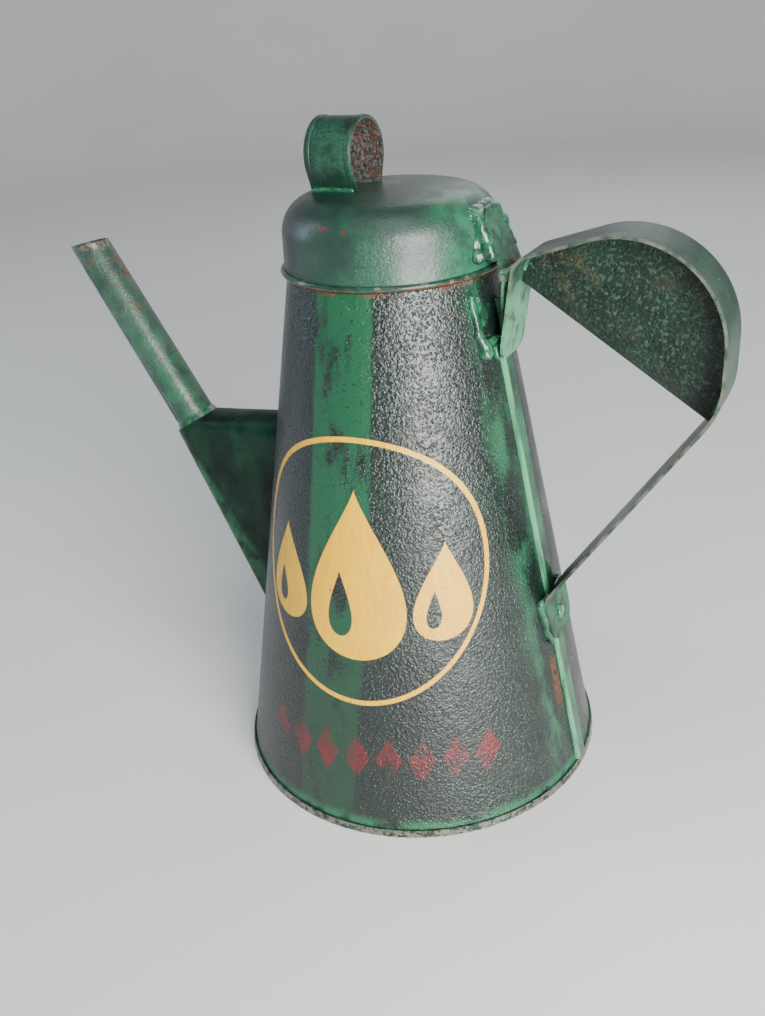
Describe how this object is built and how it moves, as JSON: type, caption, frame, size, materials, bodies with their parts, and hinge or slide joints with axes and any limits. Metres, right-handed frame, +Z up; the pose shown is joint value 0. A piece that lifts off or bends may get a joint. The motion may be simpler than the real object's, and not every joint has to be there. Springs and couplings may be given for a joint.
{
  "type": "oil can",
  "caption": "Conical sheet-metal oil can with a side spout on a folded socket, a strap handle with a web plate and a hinged domed lid with a finger loop.",
  "frame": {"origin": "centre of the flat base, on the surface the can stands on", "axes": "+Z up along the body's axis; +X towards the handle and the lid hinge; the spout points to -X"},
  "size_m": [0.2849, 0.1582, 0.266],
  "materials": {
    "body_paint": "aged dark green gloss enamel with a pebbled varnish",
    "rim_paint": "dark green enamel worn to grey metal along the rolled edge",
    "base_tin": "dull green paint over tinplate",
    "neck_tin": "bare tinplate with light rust",
    "lid_paint": "smooth dark green enamel with pits",
    "loop_metal": "thin green paint outside, corroded brown metal inside",
    "solder_paint": "lumpy solder under thin bright green paint",
    "spout_paint": "satin dark green enamel, rust at the tip",
    "strap_paint": "satin mid green enamel with rusty edges",
    "web_paint": "textured green paint with brown patches",
    "pin_steel": "bare steel wire"
  },
  "bodies": {
    "can": {"body_shell": "body_paint", "side_seam": "body_paint", "base_rim": "rim_paint", "base_plate": "base_tin", "neck_collar": "neck_tin", "leaf_solder": "solder_paint", "socket_solder": "solder_paint", "spout_solder": "solder_paint", "top_tab_solder": "solder_paint", "foot_tab_solder": "solder_paint", "spout_tube": "spout_paint", "spout_socket": "spout_paint", "handle_strap": "strap_paint", "hinge_leaf": "strap_paint", "handle_web": "web_paint", "hinge_pin": "pin_steel", "foot_rivet": "pin_steel"},
    "lid": {"lid_shell": "lid_paint", "lid_bead": "lid_paint", "lid_loop": "loop_metal", "loop_solder_near": "solder_paint", "loop_solder_far": "solder_paint", "hinge_flap": "lid_paint", "flap_solder": "solder_paint"}
  },
  "joints": [
    {"name": "lid_hinge", "type": "hinge", "parent": "can", "child": "lid", "pos_m": [0.0484, 0, 0.2138], "axis": [0, 1, 0], "range_deg": [0, 55]}
  ]
}
